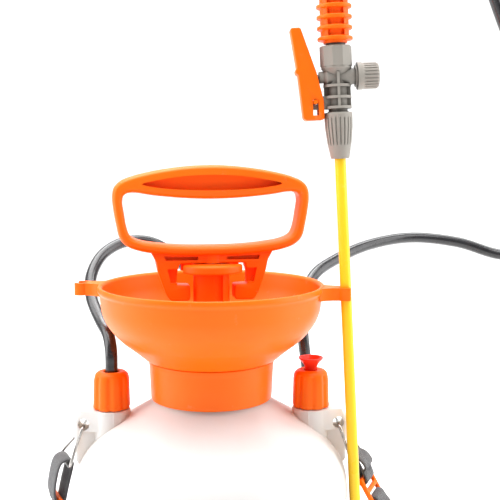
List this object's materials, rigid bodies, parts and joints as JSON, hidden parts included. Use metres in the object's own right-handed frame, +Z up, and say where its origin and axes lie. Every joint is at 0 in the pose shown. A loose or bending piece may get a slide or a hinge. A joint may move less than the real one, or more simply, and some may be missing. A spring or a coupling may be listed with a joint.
{
  "type": "shoulder pressure sprayer",
  "caption": "Shoulder pressure sprayer: translucent tank, orange filling funnel with pump handle, black hose, trigger valve and yellow lance clipped at its side.",
  "frame": {"origin": "centre of the base cup's underside, on the ground", "axes": "+Z up along the tank's axis; -Y towards the front, where the handle's window and the lance are seen side by side; +X towards the lance and relief valve"},
  "size_m": [0.4124, 0.2542, 0.6857],
  "materials": {
    "tank_plastic": "milky translucent blow-moulded polyethylene",
    "orange_plastic": "satin moulded polypropylene",
    "red_plastic": "satin moulded polypropylene",
    "yellow_tube": "extruded, smooth",
    "grey_plastic": "fine texture",
    "seal_rubber": "matte",
    "hose_rubber": "semi-gloss",
    "webbing": "woven polypropylene",
    "wire_steel": "nickel plated",
    "rod_steel": "drawn"
  },
  "bodies": {
    "tank": {"tank_shell": "tank_plastic", "base_foot": "orange_plastic", "funnel_collar": "orange_plastic", "funnel_bowl": "orange_plastic", "neck_gasket": "seal_rubber", "pump_barrel": "tank_plastic", "barrel_gasket": "seal_rubber", "barrel_foot": "grey_plastic", "check_valve_flap": "seal_rubber", "pump_neck": "orange_plastic", "outlet_nut": "orange_plastic", "outlet_gasket": "seal_rubber", "outlet_barb": "grey_plastic", "dip_tube": "tank_plastic", "dip_strainer": "grey_plastic", "relief_nut": "orange_plastic", "relief_seat": "grey_plastic", "relief_spring": "wire_steel", "hose": "hose_rubber", "strap_web": "webbing", "strap_loop_left": "webbing", "strap_loop_right": "webbing", "strap_link_left": "wire_steel", "strap_link_right": "wire_steel", "slider_left": "orange_plastic", "slider_right": "orange_plastic"},
    "piston": {"piston_head": "grey_plastic", "piston_cup": "seal_rubber"},
    "handle": {"piston_rod": "rod_steel", "pump_handle": "orange_plastic"},
    "relief": {"relief_knob": "red_plastic", "relief_seal": "seal_rubber"},
    "wand": {"lance_tube": "yellow_tube", "nozzle_body": "grey_plastic", "nozzle_oring": "seal_rubber", "lance_nut": "grey_plastic", "lance_olive": "seal_rubber", "valve_body": "grey_plastic", "trigger_pin": "orange_plastic", "plunger_oring": "seal_rubber", "valve_spring": "wire_steel", "side_cap": "grey_plastic", "side_cap_gasket": "grey_plastic", "grip_shell": "orange_plastic", "grip_strainer": "grey_plastic", "hose_barb": "grey_plastic", "hose_tail_nut": "grey_plastic"},
    "nozzle": {"nozzle_tip": "orange_plastic"},
    "trigger": {"trigger_lever": "orange_plastic"},
    "plunger": {"valve_plunger": "grey_plastic"}
  },
  "joints": [
    {"name": "pump_stroke", "type": "slide", "parent": "tank", "child": "piston", "axis": [0, 0, 1], "range_m": [0, 0.16]},
    {"name": "handle_twist", "type": "hinge", "parent": "piston", "child": "handle", "pos_m": [0, 0, 0.36], "axis": [0, 0, 1], "range_deg": [0, 40]},
    {"name": "relief_pull", "type": "slide", "parent": "tank", "child": "relief", "axis": [0, 0, 1], "range_m": [0, 0.005], "stiffness_N_per_m": 800, "springref_m": -0.003, "deforming": ["relief_spring"]},
    {"name": "wand_lift", "type": "slide", "parent": "tank", "child": "wand", "axis": [-0.0449, 0.0177, 0.9988], "range_m": [0, 0.06], "deforming": ["hose"]},
    {"name": "nozzle_turn", "type": "hinge", "parent": "wand", "child": "nozzle", "pos_m": [0.1054, -0.021, 0.02], "axis": [-0.0449, 0.0177, 0.9988], "range_deg": [0, 270]},
    {"name": "trigger_squeeze", "type": "hinge", "parent": "wand", "child": "trigger", "pos_m": [0.06989, -0.01311, 0.46428], "axis": [0.0004, 0.9998, -0.0177], "range_deg": [0, 9], "stiffness_Nm_per_rad": 0.3, "springref_deg": -8.59},
    {"name": "plunger_push", "type": "slide", "parent": "wand", "child": "plunger", "axis": [0.999, 0.0004, 0.0449], "range_m": [0, 0.0027], "deforming": ["valve_spring"]}
  ],
  "couplings": [
    {"joint": "plunger_push", "follows": "trigger_squeeze", "m_per_rad": 0.0165}
  ]
}
